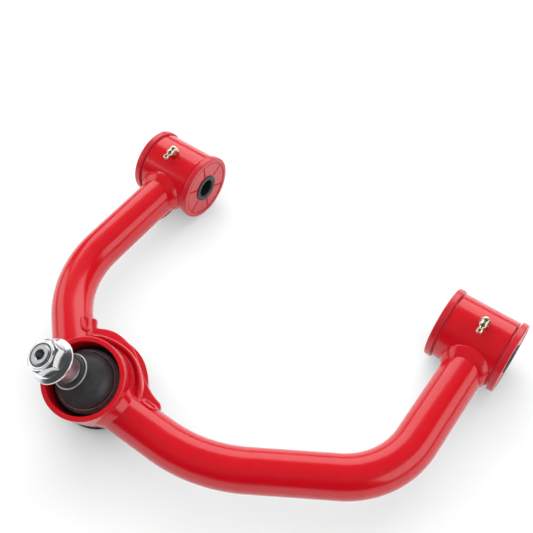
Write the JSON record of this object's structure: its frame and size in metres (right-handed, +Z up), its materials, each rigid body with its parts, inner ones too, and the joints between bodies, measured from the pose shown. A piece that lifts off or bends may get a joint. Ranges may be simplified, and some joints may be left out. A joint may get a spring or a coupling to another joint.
{
  "type": "control arm",
  "caption": "Bent-tube upper control arm with flanged pivot bushings, grease fittings, a welded ball-joint cup, rubber boot and a threaded taper stud with flange nut.",
  "frame": {"origin": "middle of the underside of the whole part's bounding box, as it lies on its bushing flanges and dust cap", "axes": "+X along the bushings' pivot axis from the short leg to the long leg, -Y towards the ball joint, +Z up on the stud side"},
  "size_m": [0.3306, 0.2504, 0.0889],
  "materials": {
    "powder_coat": "gloss powder coat",
    "bush_polyurethane": "satin moulded polyurethane",
    "sleeve_steel": "dark phosphate steel",
    "fitting_brass": "pale plated brass",
    "housing_steel": "forged and turned steel",
    "race_polymer": "moulded bearing polymer",
    "spring_steel": "oiled spring steel",
    "stud_steel": "ground steel",
    "nut_zinc": "bright zinc plate",
    "nut_nylon": "natural nylon",
    "boot_rubber": "satin moulded rubber",
    "cap_black": "satin black moulding"
  },
  "bodies": {
    "arm": {"short_leg_tube": "powder_coat", "short_leg_bush_housing": "powder_coat", "short_leg_housing_weld": "powder_coat", "short_leg_gusset": "powder_coat", "short_leg_outer_bush": "bush_polyurethane", "short_leg_inner_bush": "bush_polyurethane", "short_leg_grease_fitting": "fitting_brass", "short_leg_cup_weld": "powder_coat", "long_leg_tube": "powder_coat", "long_leg_bush_housing": "powder_coat", "long_leg_housing_weld": "powder_coat", "long_leg_gusset": "powder_coat", "long_leg_outer_bush": "bush_polyurethane", "long_leg_inner_bush": "bush_polyurethane", "long_leg_grease_fitting": "fitting_brass", "long_leg_cup_weld": "powder_coat", "ball_joint_cup": "powder_coat", "web_plate": "powder_coat", "web_upper_cover": "powder_coat", "web_lower_cover": "powder_coat", "ball_joint_shell": "housing_steel", "upper_race": "race_polymer", "lower_race": "race_polymer", "preload_spring": "spring_steel", "cover_plate": "housing_steel", "snap_ring": "spring_steel", "dust_cap": "cap_black", "boot_lower_fold": "boot_rubber"},
    "short_sleeve": {"short_leg_sleeve": "sleeve_steel"},
    "long_sleeve": {"long_leg_sleeve": "sleeve_steel"},
    "boot_waist": {"boot_upper_fold": "boot_rubber", "boot_waist_ring": "spring_steel"},
    "boot_neck": {"boot_neck_ring": "spring_steel"},
    "stud": {"ball_stud": "stud_steel", "stud_nut": "nut_zinc", "nut_insert": "nut_nylon"}
  },
  "joints": [
    {"name": "short_pivot", "type": "hinge", "parent": "arm", "child": "short_sleeve", "pos_m": [-0.1375, 0.09822, 0.027], "axis": [1, 0, 0], "continuous": true},
    {"name": "long_pivot", "type": "hinge", "parent": "arm", "child": "long_sleeve", "pos_m": [0.1375, 0.09822, 0.027], "axis": [1, 0, 0], "continuous": true},
    {"name": "ball_side_swing", "type": "hinge", "parent": "arm", "child": "boot_waist", "pos_m": [-0.0587, -0.09048, 0.03055], "axis": [0.9844, 0.1224, -0.1263], "range_deg": [-10, 10], "deforming": ["boot_lower_fold"]},
    {"name": "ball_main_swing", "type": "hinge", "parent": "boot_waist", "child": "boot_neck", "pos_m": [-0.0587, -0.09048, 0.03055], "axis": [0.0752, -0.9422, -0.3266], "range_deg": [-45, 3], "deforming": ["boot_upper_fold"]},
    {"name": "stud_spin", "type": "hinge", "parent": "boot_neck", "child": "stud", "pos_m": [-0.0587, -0.09048, 0.03055], "axis": [-0.207, -0.3352, 0.9191], "continuous": true}
  ]
}
